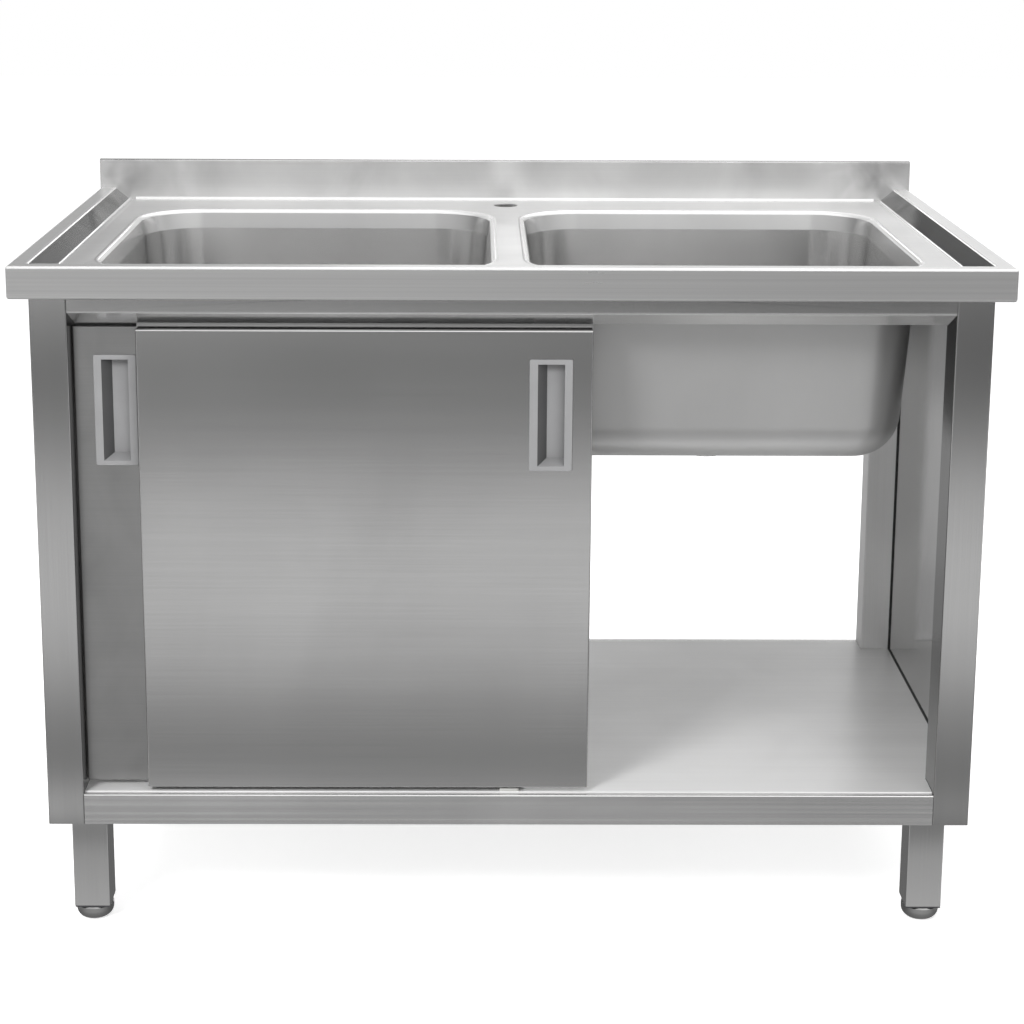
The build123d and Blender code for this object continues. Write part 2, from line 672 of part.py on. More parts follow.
def handle(door):
    """A moulded flush pull: a proud frame round a pocket with one sloping side and a sloping sill."""
    x, z = handle_place(door)
    y = door_faces[door]
    frame = block(x, x + HANDLE_WIDTH, y - HANDLE_PROUD, y, z - HANDLE_HEIGHT, z)
    frame = fillet(frame.edges().filter_by(Axis.Y), HANDLE_CORNER)
    frame = fillet(frame.faces().sort_by(Axis.Y)[0].edges(), HANDLE_ROUND)
    body = frame + cup_block(door, 0, HANDLE_POCKET_DEPTH + HANDLE_CUP_WALL - HANDLE_PROUD)
    x0 = x + HANDLE_SIDE_BORDER
    x1 = x + HANDLE_WIDTH - HANDLE_SIDE_BORDER
    face = y - HANDLE_PROUD
    floor = face + HANDLE_POCKET_DEPTH
    plan = make_face(Polyline((x0, face), (x1, face), (x1, floor), (x0 + HANDLE_SLOPE, floor), close=True))
    z0 = z - HANDLE_HEIGHT + HANDLE_END_BORDER
    z1 = z - HANDLE_END_BORDER
    rise = make_face(Polyline((face, z0), (face, z1), (floor, z1), (floor, z0 + HANDLE_SILL), close=True))
    pocket = extrude(Pos(0, 0, z0) * plan, amount=z1 - z0) & along_x(rise, x0, x1)
    return body - pocket


# ---------------------------------------------------------------- hangers, wheels and track


def hanger_places(door):
    """The X of a door's two wheels."""
    left = door_lefts[door]
    return left + HANGER_INSET, left + door_width - HANGER_INSET


def bolt_places(x):
    """The X and Z of a hanger's two bolts."""
    z = door_top + HANGER_BOLT_HEIGHT
    return [(x - HANGER_BOLT_SPACING / 2, z), (x + HANGER_BOLT_SPACING / 2, z)]


def bolt_drills(door, x):
    """The drills for a hanger's bolts, through the door's flange and the hanger."""
    y0 = door_faces[door] + DOOR_THICKNESS - HANGER_THICKNESS
    y1 = y0 + 3 * HANGER_THICKNESS
    size = BOLT_DIAMETER + 2 * THREAD_GAP
    return [round_bar(size, y0, y1, bolt_x, z) for bolt_x, z in bolt_places(x)]


def hanger(door, x):
    """A hanger plate with its riveted axle, behind the door's flange."""
    y0 = door_faces[door] + DOOR_THICKNESS
    y1 = y0 + HANGER_THICKNESS
    bottom = door_top + HANGER_LIFT
    crown = HANGER_WIDTH / 4
    plate = block(x - HANGER_WIDTH / 2, x + HANGER_WIDTH / 2, y0, y1, bottom, axle_height)
    plate = chamfer(plate.edges().filter_by(Axis.Y).group_by(Axis.Z)[-1], HANGER_WIDTH / 2 - crown)
    plate += round_bar(2 * crown, y0, y1, x, axle_height)
    wheel_back = y1 + WHEEL_SIDE_GAP + WHEEL_WIDTH
    plate += round_bar(AXLE_DIAMETER, y0, wheel_back + WHEEL_SIDE_GAP, x, axle_height)
    head_front = wheel_back + WHEEL_SIDE_GAP
    plate += round_bar(AXLE_HEAD_DIAMETER, head_front, head_front + AXLE_HEAD_THICKNESS, x, axle_height)
    return plate - bolt_drills(door, x)


def hanger_bolts(door):
    """The four bolts that hold a door's hangers, flush at the front of the flange."""
    y0 = door_faces[door] + DOOR_THICKNESS - THIN_SHEET
    y1 = door_faces[door] + DOOR_THICKNESS + HANGER_THICKNESS
    bolts = []
    for hanger_x in hanger_places(door):
        for x, z in bolt_places(hanger_x):
            shank = round_bar(BOLT_DIAMETER, y0, y1, x, z)
            bolts.append(shank + round_bar(BOLT_HEAD_DIAMETER, y1, y1 + BOLT_HEAD_THICKNESS, x, z))
    return bolts


def wheel(door, x):
    """A grooved plastic wheel that runs on the track's upturned edge."""
    half = WHEEL_WIDTH / 2
    rim = WHEEL_DIAMETER / 2
    groove = WHEEL_GROOVE_DIAMETER / 2
    outline = Polyline(
        (AXLE_DIAMETER / 2 + SHAFT_GAP, -half),
        (rim, -half),
        (rim, -WHEEL_GROOVE_MOUTH / 2),
        (groove, -WHEEL_GROOVE_FLOOR / 2),
        (groove, WHEEL_GROOVE_FLOOR / 2),
        (rim, WHEEL_GROOVE_MOUTH / 2),
        (rim, half),
        (AXLE_DIAMETER / 2 + SHAFT_GAP, half),
        close=True,
    )
    body = revolve(make_face(outline), axis=Axis.Y)
    return Pos(x, door_faces[door] + wheel_offset + half, axle_height) * body


def track():
    """The double track: a top plate screwed to the front rail, with a hooked rail for each door."""
    mount_top = plate_under - SHEET - FRAME_GAP
    head = folded([(rail_web, mount_top), (rail_web, track_head), (track_back, track_head)], RAIL_SHEET)
    x = post_inner - TRACK_END_GAP
    body = along_x(head, -x, x)
    for face in door_faces:
        bead = face + bead_offset
        line = [
            (bead, bead_top),
            (bead, ledge_bottom),
            (bead + RAIL_REACH, ledge_bottom),
            (bead + RAIL_REACH, track_head + RAIL_SHEET / 2),
        ]
        body += along_x(folded(line, RAIL_SHEET), -x, x)
    return body - screw_drills()


def screw_places():
    """The X and Z of the screws that hold the track to the front rail."""
    z = (track_head + plate_under) / 2
    outer = post_inner - TRACK_SCREW_INSET
    return [(x, z) for x in (-outer, 0, outer)]


def screw_drills():
    """The drills for the track's screws."""
    size = BOLT_DIAMETER + 2 * THREAD_GAP
    return [round_bar(size, cab_front - SHEET, rail_web + 2 * RAIL_SHEET, x, z) for x, z in screw_places()]


def track_screws():
    """The screws that hold the track, flush at the rail's face and hidden by the fascia."""
    y = rail_web + RAIL_SHEET
    screws = []
    for x, z in screw_places():
        shank = round_bar(BOLT_DIAMETER, cab_front, y, x, z)
        screws.append(shank + round_bar(BOLT_HEAD_DIAMETER, y, y + BOLT_HEAD_THICKNESS, x, z))
    return screws


def track_stops():
    """Rubber stops on the rails' ledges, where the outer wheels end their travel."""
    reach = post_inner - DOOR_END_GAP - HANGER_INSET + WHEEL_DIAMETER / 2 + STOP_PLAY
    ledge_top = ledge_bottom + RAIL_SHEET
    stops = []
    for face in door_faces:
        y0 = face + bead_offset + RAIL_SHEET
        y1 = face + bead_offset + RAIL_REACH - RAIL_SHEET
        stop = block(reach, reach + STOP_LENGTH, y0, y1, ledge_top, ledge_top + STOP_HEIGHT)
        stops += [on_side(stop, side) for side in sides.values()]
    return stops


def door_guide():
    """The plastic guide on the shelf, with a fin in each door's bottom slot."""
    half = GUIDE_LENGTH / 2
    y0 = door_faces[0] + GUIDE_MARGIN
    y1 = door_faces[1] + DOOR_THICKNESS - GUIDE_MARGIN
    body = block(-half, half, y0, y1, SHELF_HEIGHT, SHELF_HEIGHT + GUIDE_BASE)
    body = fillet(body.edges().filter_by(Axis.Z), GUIDE_MARGIN)
    fin_top = SHELF_HEIGHT + GUIDE_FIN_HEIGHT
    for face in door_faces:
        middle = face + DOOR_SLOT_START + DOOR_SLOT_WIDTH / 2
        fin_y0 = middle - GUIDE_FIN / 2
        body += block(-half / 2, half / 2, fin_y0, fin_y0 + GUIDE_FIN, SHELF_HEIGHT, fin_top)
    return body


# ---------------------------------------------------------------- every node


def main():
    os.makedirs("parts", exist_ok=True)
    write("worktop", worktop())
    write("splashback", splashback())
    write("tap_hole_plate", tap_plate())
    write("top_front_rail", top_front_rail())
    write("top_rear_rail", top_rear_rail())
    write("middle_channel", middle_channel())
    write("bottom_front_rail", bottom_front_rail())
    write("bottom_rear_rail", bottom_rear_rail())
    write("bottom_shelf", shelf())
    write("door_track", track())
    write("track_screws", track_screws())
    write("track_stops", track_stops())
    write("door_guide", door_guide())
    write("leg_gussets", [on_side(gusset(end), side) for end in leg_ys for side in sides.values()])

    mirrored = {
        "bowl": bowl(),
        "waste_body": waste_body(),
        "waste_gasket": waste_gasket(),
        "waste_nut": waste_nut(),
        "side_panel": side_panel(),
        "side_rail": side_rail(),
        "front_post": post(cab_front, front_post_back),
        "rear_post": post(rear_post_front, cab_back),
    }
    for side_name, side in sides.items():
        for name, shape in mirrored.items():
            write(f"{name}_{side_name}", on_side(shape, side))
        write(f"shelf_stiffener_{side_name}", shelf_stiffener(side))
        for end, y in leg_ys.items():
            write(f"leg_{end}_{side_name}", leg(side * leg_x, y))
            write(f"leg_insert_{end}_{side_name}", leg_insert(side * leg_x, y))
            write(f"foot_{end}_{side_name}", foot(side * leg_x, y))

    for door, name in enumerate(("front", "rear")):
        write(f"{name}_door_outer", door_outer(door))
        write(f"{name}_door_inner", door_inner(door))
        write(f"{name}_door_handle", handle(door))
        write(f"{name}_door_bolts", hanger_bolts(door))
        for side_name, x in zip(sides, hanger_places(door)):
            write(f"{name}_door_hanger_{side_name}", hanger(door, x))
            write(f"{name}_door_wheel_{side_name}", wheel(door, x))


main()
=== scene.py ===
import math

import bmesh
import bpy
from mathutils import Matrix, Vector


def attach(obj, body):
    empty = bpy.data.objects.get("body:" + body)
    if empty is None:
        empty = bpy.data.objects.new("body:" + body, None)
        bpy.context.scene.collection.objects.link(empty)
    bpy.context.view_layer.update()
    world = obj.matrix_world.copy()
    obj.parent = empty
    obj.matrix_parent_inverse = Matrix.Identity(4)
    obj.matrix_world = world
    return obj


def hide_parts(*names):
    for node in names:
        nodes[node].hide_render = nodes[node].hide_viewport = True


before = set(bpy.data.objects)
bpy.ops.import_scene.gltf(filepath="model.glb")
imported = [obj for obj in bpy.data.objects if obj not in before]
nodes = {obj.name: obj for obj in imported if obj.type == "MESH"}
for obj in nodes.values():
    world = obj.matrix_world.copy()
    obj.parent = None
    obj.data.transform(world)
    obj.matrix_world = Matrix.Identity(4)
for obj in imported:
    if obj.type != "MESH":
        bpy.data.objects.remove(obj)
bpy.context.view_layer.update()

# ---------------------------------------------------------------- camera

IMAGE = 1024  # width and height in pixels
FOCAL = 2221.945  # pixels
CENTRE = (487.375, 358.0)  # pixel where the optical axis meets the image
EYE = Vector((-0.0456157, -2.938942, 1.298178))
PITCH = 0.211944
YAW = 0.00616184
ROLL = 0.00417007
NEAREST = 0.05  # clipping distances
FARTHEST = 60


def make_camera():
    """The photograph's view, with only as much shift as its framing needs."""
    camera = bpy.data.cameras.new("photo_view")
    camera.lens = FOCAL / IMAGE * camera.sensor_width
    camera.shift_x = (IMAGE / 2 - CENTRE[0]) / IMAGE
    camera.shift_y = (CENTRE[1] - IMAGE / 2) / IMAGE
    camera.clip_start = NEAREST
    camera.clip_end = FARTHEST
    holder = bpy.data.objects.new("photo_view", camera)
    forward = Vector((math.sin(YAW) * math.cos(PITCH), math.cos(YAW) * math.cos(PITCH), -math.sin(PITCH)))
    right = Vector((math.cos(YAW), -math.sin(YAW), 0))
    up = right.cross(forward)
    tilted_right = right * math.cos(ROLL) + up * math.sin(ROLL)
    tilted_up = up * math.cos(ROLL) - right * math.sin(ROLL)
    turn = Matrix((tilted_right, tilted_up, -forward)).transposed()
    holder.matrix_world = Matrix.Translation(EYE) @ turn.to_4x4()
    bpy.context.scene.collection.objects.link(holder)
    bpy.context.scene.camera = holder


# ---------------------------------------------------------------- node trees


class Nodes:
    """A short way to write a node tree: each call adds nodes and returns the last one's output."""

    def __init__(self, tree):
        self.tree = tree
        tree.nodes.clear()

    def add(self, kind, inputs=None, output=0, **settings):
        node = self.tree.nodes.new(kind)
        for key, value in settings.items():
            setattr(node, key, value)
        for key, value in (inputs or {}).items():
            if isinstance(value, bpy.types.NodeSocket):
                self.tree.links.new(value, node.inputs[key])
            else:
                node.inputs[key].default_value = value
        return node.outputs[output] if len(node.outputs) else None

    def maths(self, operation, a, b=0.0):
        return self.add("ShaderNodeMath", {0: a, 1: b}, operation=operation)

    def times(self, first, *others):
        """The product of two or more values."""
        product = first
        for other in others:
            product = self.maths("MULTIPLY", product, other)
        return product

    def span(self, value, low, high, to_low, to_high, interpolation="LINEAR"):
        """Maps low..high of a value to to_low..to_high, held at both ends."""
        return self.add(
            "ShaderNodeMapRange",
            {0: value, 1: low, 2: high, 3: to_low, 4: to_high},
            interpolation_type=interpolation,
        )

    def smooth(self, value, low, high, to_low, to_high):
        """As span, with a soft start and end."""
        return self.span(value, low, high, to_low, to_high, "SMOOTHSTEP")

    def curve(self, value, points):
        """A smooth grey curve through (position, level) points, with positions from 0 to 1."""
        ramp = self.tree.nodes.new("ShaderNodeValToRGB")
        ramp.color_ramp.interpolation = "EASE"
        elements = ramp.color_ramp.elements
        while len(elements) < len(points):
            elements.new(0.5)
        for element, (position, level) in zip(elements, points):
            element.position = position
            element.color = (level, level, level, 1)
        self.tree.links.new(value, ramp.inputs[0])
        return ramp.outputs[0]

    def blend(self, factor, a, b):
        """A value between the values a and b."""
        return self.add("ShaderNodeMix", {0: factor, 2: a, 3: b}, data_type="FLOAT")

    def mix(self, factor, a, b):
        """A shader between the shaders a and b."""
        return self.add("ShaderNodeMixShader", {0: factor, 1: a, 2: b})

    def parts(self, vector):
        """The X, Y and Z of a vector."""
        split = self.tree.nodes.new("ShaderNodeSeparateXYZ")
        self.tree.links.new(vector, split.inputs[0])
        return split.outputs

    def along(self, vector, axis):
        """How far a vector reaches along one axis."""
        return self.add(
            "ShaderNodeVectorMath", {0: vector, 1: unit(axis)}, output="Value", operation="DOT_PRODUCT"
        )

    def facing(self, axis):
        """How far the surface faces along one axis, from -1 to 1."""
        return self.along(self.add("ShaderNodeNewGeometry", output="Normal"), axis)


def unit(axis):
    """The unit vector along the axis X, Y or Z."""
    return [1.0 if letter == axis else 0.0 for letter in "XYZ"]


# ---------------------------------------------------------------- world, floor and lamps

WHITE = (1, 1, 1, 1)

# What metal mirrors, by the height of the direction: 0 is straight down and 1 straight up. Behind
# the unit stands a bright backdrop with a thin dark gap in it. A wider dark gap parts it from a
# bright ceiling. In front of the unit the studio is dim at the horizon and bright above the camera.
BEHIND_LEVELS = [
    (0.0, 0.7),
    (0.50, 1.0),
    (0.542, 1.0),
    (0.549, 0.15),
    (0.560, 0.15),
    (0.566, 1.0),
    (0.585, 1.0),
    (0.5975, 0.14),
    (0.64, 0.16),
    (0.665, 0.95),
    (1.0, 1.05),
]
AHEAD_LEVELS = [
    (0.0, 0.4),
    (0.50, 0.22),
    (0.58, 0.50),
    (0.66, 0.95),
    (0.80, 1.05),
    (1.0, 1.05),
]
BEHIND_SIDES = (0.36, 1.22)  # factors on the left and on the right
AHEAD_SIDES = (0.88, 1.15)
STRIP_LEVEL = 2.6
AMBIENT = (0.62, 0.28)  # light on matt surfaces from the left and from the right


def make_world():
    """White backdrop to the camera, plain light for matt surfaces, and a studio for metal to mirror."""
    world = bpy.data.worlds.new("studio")
    world.use_nodes = True
    bpy.context.scene.world = world
    n = Nodes(world.node_tree)
    x, y, z = n.parts(n.add("ShaderNodeTexCoord", output="Generated"))
    height = n.span(z, -1.0, 1.0, 0.0, 1.0)
    behind = n.times(n.curve(height, BEHIND_LEVELS), n.smooth(x, -0.25, 0.2, *BEHIND_SIDES))
    # A narrow upright lamp behind, which the folds of the worktop mirror as a bright line.
    strip = n.times(
        n.smooth(n.maths("ABSOLUTE", x), 0.03, 0.075, 1.0, 0.0),
        n.smooth(z, 0.19, 0.205, 0.0, 1.0),
        n.smooth(z, 0.265, 0.28, STRIP_LEVEL, 0.0),
    )
    behind = n.maths("ADD", behind, strip)
    ahead = n.times(n.curve(height, AHEAD_LEVELS), n.smooth(x, -0.15, 0.15, *AHEAD_SIDES))
    level = n.blend(n.smooth(y, -0.35, 0.35, 0.0, 1.0), ahead, behind)
    mirrored = n.add("ShaderNodeBackground", {0: WHITE, 1: level})
    ambient = n.add("ShaderNodeBackground", {0: WHITE, 1: n.span(x, -1.0, 1.0, *AMBIENT)})
    backdrop = n.add("ShaderNodeBackground", {0: WHITE, 1: 1.0})
    path = n.tree.nodes.new("ShaderNodeLightPath").outputs
    shade = n.mix(path["Is Glossy Ray"], ambient, mirrored)
    shade = n.mix(path["Is Camera Ray"], shade, backdrop)
    n.add("ShaderNodeOutputWorld", {0: shade})


FLOOR_HALF = 12.0
FOOTPRINT = (0.600, 0.345)  # half the unit's width and depth
FLOOR_REACH = 6.0  # how far out from the footprint the levels below apply
FLOOR_LEVELS = [
    (0.0, 0.60),
    (0.17, 0.52),
    (0.27, 0.22),
    (0.36, 0.50),
    (0.475, 0.25),
    (0.70, 0.34),
    (0.98, 0.66),
    (1.30, 0.78),
    (1.95, 0.76),
    (2.65, 0.19),
    (3.20, 0.06),
    (4.20, 0.04),
    (4.70, 0.48),
    (5.65, 0.55),
]
FAR_SIDES = (0.58, -0.14)  # added to the far floor on the left and on the right
NEAR_SIDES = (0.26, -0.08)  # and to the strip of floor before the feet
UNDER_LEVEL = 0.30  # share of the level that is left under the unit: a painted shadow in what metal mirrors
BACK_LEVEL = 0.36
PAPER_GLOW = 0.66  # makes the floor white to the camera, without hiding the shadow


def make_floor():
    """A pale floor that keeps a soft shadow, and that metal mirrors as a studio floor with lit zones."""
    mesh = bpy.data.meshes.new("floor")
    corners = [(-1, -1), (1, -1), (1, 1), (-1, 1)]
    mesh.from_pydata([(x * FLOOR_HALF, y * FLOOR_HALF, 0) for x, y in corners], [], [(0, 1, 2, 3)])
    floor = bpy.data.objects.new("floor", mesh)
    bpy.context.scene.collection.objects.link(floor)
    material, n = new_material("floor")
    x, y, _ = n.parts(n.add("ShaderNodeTexCoord", output="Object"))
    # What metal mirrors depends on how far out the floor lies from the unit's footprint.
    across = n.maths("SUBTRACT", n.maths("ABSOLUTE", x), FOOTPRINT[0])
    deep = n.maths("SUBTRACT", n.maths("ABSOLUTE", y), FOOTPRINT[1])
    out = n.maths("MAXIMUM", across, deep)
    levels = [(distance / FLOOR_REACH, level) for distance, level in FLOOR_LEVELS]
    lit = n.curve(n.span(out, 0.0, FLOOR_REACH, 0.0, 1.0), levels)
    far = n.smooth(out, 3.9, 4.9, 0.0, 1.0)
    lit = n.maths("ADD", lit, n.times(far, n.span(x, -1.8, 1.8, *FAR_SIDES)))
    near = n.times(n.smooth(out, 0.27, 0.34, 0.0, 1.0), n.smooth(out, 0.40, 0.48, 1.0, 0.0))
    lit = n.maths("ADD", lit, n.times(near, n.span(x, -0.7, 0.6, *NEAR_SIDES)))
    lit = n.times(lit, n.smooth(out, -0.05, 0.02, UNDER_LEVEL, 1.0))
    lit = n.blend(n.smooth(y, 0.2, 0.5, 0.0, 0.75), lit, BACK_LEVEL)
    mirrored = n.add("ShaderNodeEmission", {0: lit, 1: 1.0})
    paper = n.add("ShaderNodeBsdfDiffuse", {0: WHITE})
    glow = n.add("ShaderNodeEmission", {0: WHITE, 1: PAPER_GLOW})
    path = n.tree.nodes.new("ShaderNodeLightPath").outputs
    shade = n.mix(path["Is Camera Ray"], paper, n.add("ShaderNodeAddShader", {0: paper, 1: glow}))
    shade = n.mix(path["Is Glossy Ray"], shade, mirrored)
    n.add("ShaderNodeOutputMaterial", {0: shade})
    mesh.materials.append(material)


def make_lamp(name, place, target, width, length, power):
    """A rectangular lamp that lights surfaces but isn't mirrored by metal."""
    lamp = bpy.data.lights.new(name, "AREA")
    lamp.shape = "RECTANGLE"
    lamp.size = width
    lamp.size_y = length
    lamp.energy = power
    holder = bpy.data.objects.new(name, lamp)
    holder.location = place
    holder.rotation_euler = (Vector(target) - Vector(place)).to_track_quat("-Z", "Y").to_euler()
    holder.visible_glossy = False
    bpy.context.scene.collection.objects.link(holder)


# Each lamp's name, place, the point it is aimed at, width, length and power in watts.
LAMPS = [
    ("overhead", (0.0, 0.1, 2.9), (0, 0, 0), 2.2, 1.2, 40),
    ("back_top", (1.2, 1.5, 2.7), (0.2, 0, 0.8), 2.2, 0.9, 10),
    ("front_left", (-1.8, -2.6, 2.6), (0, 0, 0.5), 1.0, 1.0, 72),
    ("front_right", (1.9, -2.4, 2.4), (0, 0, 0.5), 1.2, 1.2, 8),
]


# ---------------------------------------------------------------- materials

STEEL_TINT = (1.0, 0.998, 0.994)
GRAIN_STRETCH = 0.004  # lines along the grain for each line across it
GRAIN_DEPTH = 0.0001
BAND_SCALES = (1.5, 45.0)  # broad bands per metre along the grain and across it
CLOUD_STRETCH = 0.6  # clouds are taller than they are wide
LINE_GLOSS = 0.01  # share by which the roughness varies with the grain
CLOUD_GLOSS = 0.06  # and with the clouding
NOISE_SPAN = (0.3, 0.7)  # the range that most of a noise texture's values lie in
TANGENT_NUDGE = (0.001, 0.0013, 0.0017)  # keeps the tangent from vanishing where a face cuts the grain
GRIT = 900.0  # grains per metre
GRIT_DEPTH = 0.0002
GRIT_RELIEF = 0.1
GRIT_GLOSS = 0.1
PLASTIC_CLOUD = 25.0
PLASTIC_MOTTLE = 0.04
POCKET_REACH = 0.03  # how near a wall must be for the painted shade in a handle's recess


def new_material(name):
    material = bpy.data.materials.new(name)
    material.use_nodes = True
    return material, Nodes(material.node_tree)


def stretched_noise(n, place, grain, along, across, **settings):
    """Noise with one scale along the grain's axis and another across it."""
    scale = [along if axis == grain else across for axis in "XYZ"]
    vector = n.add("ShaderNodeMapping", {"Vector": place, "Scale": scale})
    return n.add("ShaderNodeTexNoise", {"Vector": vector, "Scale": 1.0, **settings})


def smudge_marks(n, place, smudge):
    """A factor that darkens cloudy patches near the worktop's two ends, most of all at the back."""
    ends = n.smooth(n.maths("ABSOLUTE", n.along(place, "X")), 0.43, 0.56, 0.0, 1.0)
    ends = n.times(ends, n.smooth(n.along(place, "Y"), -0.10, 0.22, 0.15, 1.0))
    marks = n.add("ShaderNodeTexNoise", {"Vector": place, "Scale": 15.0, "Detail": 2.0, "Distortion": 0.7})
    marks = n.smooth(marks, 0.35, 0.65, 1 - smudge, 1 - smudge * 0.25)
    return n.blend(ends, 1.0, marks)


def steel(
    name,
    tone,
    roughness,
    metallic=1.0,
    anisotropy=0.6,
    grain="X",
    streak=0.03,
    fine=800.0,
    detail=3.0,
    relief=0.02,
    mottle=0.04,
    cloud=5.0,
    smudge=0.0,
    fold_highlight=1.0,
    lip=1.0,
    top_shade=1.0,
    near=1.0,
    inward_shade=1.0,
):
    """Brushed stainless sheet: straight grain along one axis, soft clouding, and an uneven gloss.

    The grain has fine lines per metre, with detail finer layers in them. They vary the tone by the
    share streak, and dent the surface as much as relief says. Clouding varies the tone by the share
    mottle, with cloud patches per metre. Smudge darkens cloudy patches near the worktop's ends, most
    of all towards the back. The last five arguments are factors on the tone that paint light and
    shade, in this order: a painted highlight on folds that face up, painted light on slanted
    undersides, painted shade on faces that look up, painted light towards the unit's front, and
    painted shade on faces that look into the cupboard.
    """
    material, n = new_material(name)
    place = n.add("ShaderNodeTexCoord", output="Object")
    lines = stretched_noise(n, place, grain, fine * GRAIN_STRETCH, fine, Detail=detail, Roughness=0.7)
    bands = stretched_noise(n, place, grain, *BAND_SCALES, Detail=2.0)
    soft = stretched_noise(n, place, "Z", cloud * CLOUD_STRETCH, cloud, Detail=4.0, Distortion=0.6)
    shade = n.times(
        n.span(lines, *NOISE_SPAN, 1 - streak, 1 + streak),
        n.span(bands, *NOISE_SPAN, 1 - streak / 2, 1 + streak / 2),
        n.span(soft, *NOISE_SPAN, 1 - mottle, 1 + mottle),
    )
    if smudge > 0.0:
        shade = n.times(shade, smudge_marks(n, place, smudge))
    # Painted highlight: folds that face up are lighter.
    if fold_highlight > 1.0:
        up = n.facing("Z")
        fold = n.times(n.smooth(up, 0.15, 0.40, 0.0, 1.0), n.smooth(up, 0.90, 0.99, 1.0, 0.0))
        shade = n.times(shade, n.span(fold, 0.0, 1.0, 1.0, fold_highlight))
    # Painted light: slanted undersides are lighter.
    if lip > 1.0:
        shade = n.times(shade, n.smooth(n.facing("Z"), -0.6, -0.2, lip, 1.0))
    # Painted shade: faces that look up are darker.
    if top_shade < 1.0:
        shade = n.times(shade, n.smooth(n.facing("Z"), 0.3, 0.7, 1.0, top_shade))
    # Painted light: the tone rises towards the unit's front.
    if near > 1.0:
        shade = n.times(shade, n.smooth(n.along(place, "Y"), -0.34, 0.05, near, 1.0))
    # Painted shade: faces that look into the cupboard are darker.
    if inward_shade < 1.0:
        outward = n.times(n.facing("X"), n.maths("SIGN", n.along(place, "X")))
        shade = n.times(shade, n.smooth(outward, -0.9, -0.5, inward_shade, 1.0))
    colour = [tone * share for share in STEEL_TINT]
    gloss = n.times(
        n.span(lines, *NOISE_SPAN, roughness * (1 + LINE_GLOSS), roughness * (1 - LINE_GLOSS)),
        n.span(soft, *NOISE_SPAN, 1 + CLOUD_GLOSS, 1 - CLOUD_GLOSS),
    )
    normal = n.add("ShaderNodeNewGeometry", output="Normal")
    tangent = n.add("ShaderNodeVectorMath", {0: normal, 1: unit(grain)}, operation="CROSS_PRODUCT")
    tangent = n.add("ShaderNodeVectorMath", {0: tangent, 1: TANGENT_NUDGE}, operation="ADD")
    dents = n.add("ShaderNodeBump", {"Height": lines, "Strength": relief, "Distance": GRAIN_DEPTH})
    shader = n.add(
        "ShaderNodeBsdfPrincipled",
        {
            "Base Color": n.add("ShaderNodeVectorMath", {0: colour, 3: shade}, operation="SCALE"),
            "Metallic": metallic,
            "Roughness": gloss,
            "Anisotropic": anisotropy,
            "Tangent": tangent,
            "Normal": dents,
        },
    )
    n.add("ShaderNodeOutputMaterial", {0: shader})
    return material


def plastic(name, colour, roughness, metallic=0.0, pocket_shade=1.0):
    """Moulded plastic, rubber or plated metal with a fine grit and slight unevenness.

    Below 1, the last argument paints shade into a handle's recess: slopes that face +X are darker by
    that factor, and painted shade darkens the sunk places.
    """
    material, n = new_material(name)
    place = n.add("ShaderNodeTexCoord", output="Object")
    fine = n.add("ShaderNodeTexNoise", {"Vector": place, "Scale": GRIT, "Detail": 2.0})
    soft = n.add("ShaderNodeTexNoise", {"Vector": place, "Scale": PLASTIC_CLOUD, "Detail": 2.0})
    shade = n.span(soft, *NOISE_SPAN, 1 - PLASTIC_MOTTLE, 1 + PLASTIC_MOTTLE)
    # Painted shade in the recess: +X slopes and places near the walls are darker.
    if pocket_shade < 1.0:
        openness = n.add("ShaderNodeAmbientOcclusion", {"Distance": POCKET_REACH}, output="AO")
        shade = n.times(
            shade,
            n.smooth(n.facing("X"), 0.45, 0.68, 1.0, pocket_shade),
            n.span(openness, 0.5, 0.95, 0.62, 1.0),
        )
    gloss = n.span(fine, *NOISE_SPAN, roughness * (1 - GRIT_GLOSS), roughness * (1 + GRIT_GLOSS))
    dents = n.add("ShaderNodeBump", {"Height": fine, "Strength": GRIT_RELIEF, "Distance": GRIT_DEPTH})
    shader = n.add(
        "ShaderNodeBsdfPrincipled",
        {
            "Base Color": n.add("ShaderNodeVectorMath", {0: colour, 3: shade}, operation="SCALE"),
            "Metallic": metallic,
            "Roughness": gloss,
            "Normal": dents,
        },
    )
    n.add("ShaderNodeOutputMaterial", {0: shader})
    return material


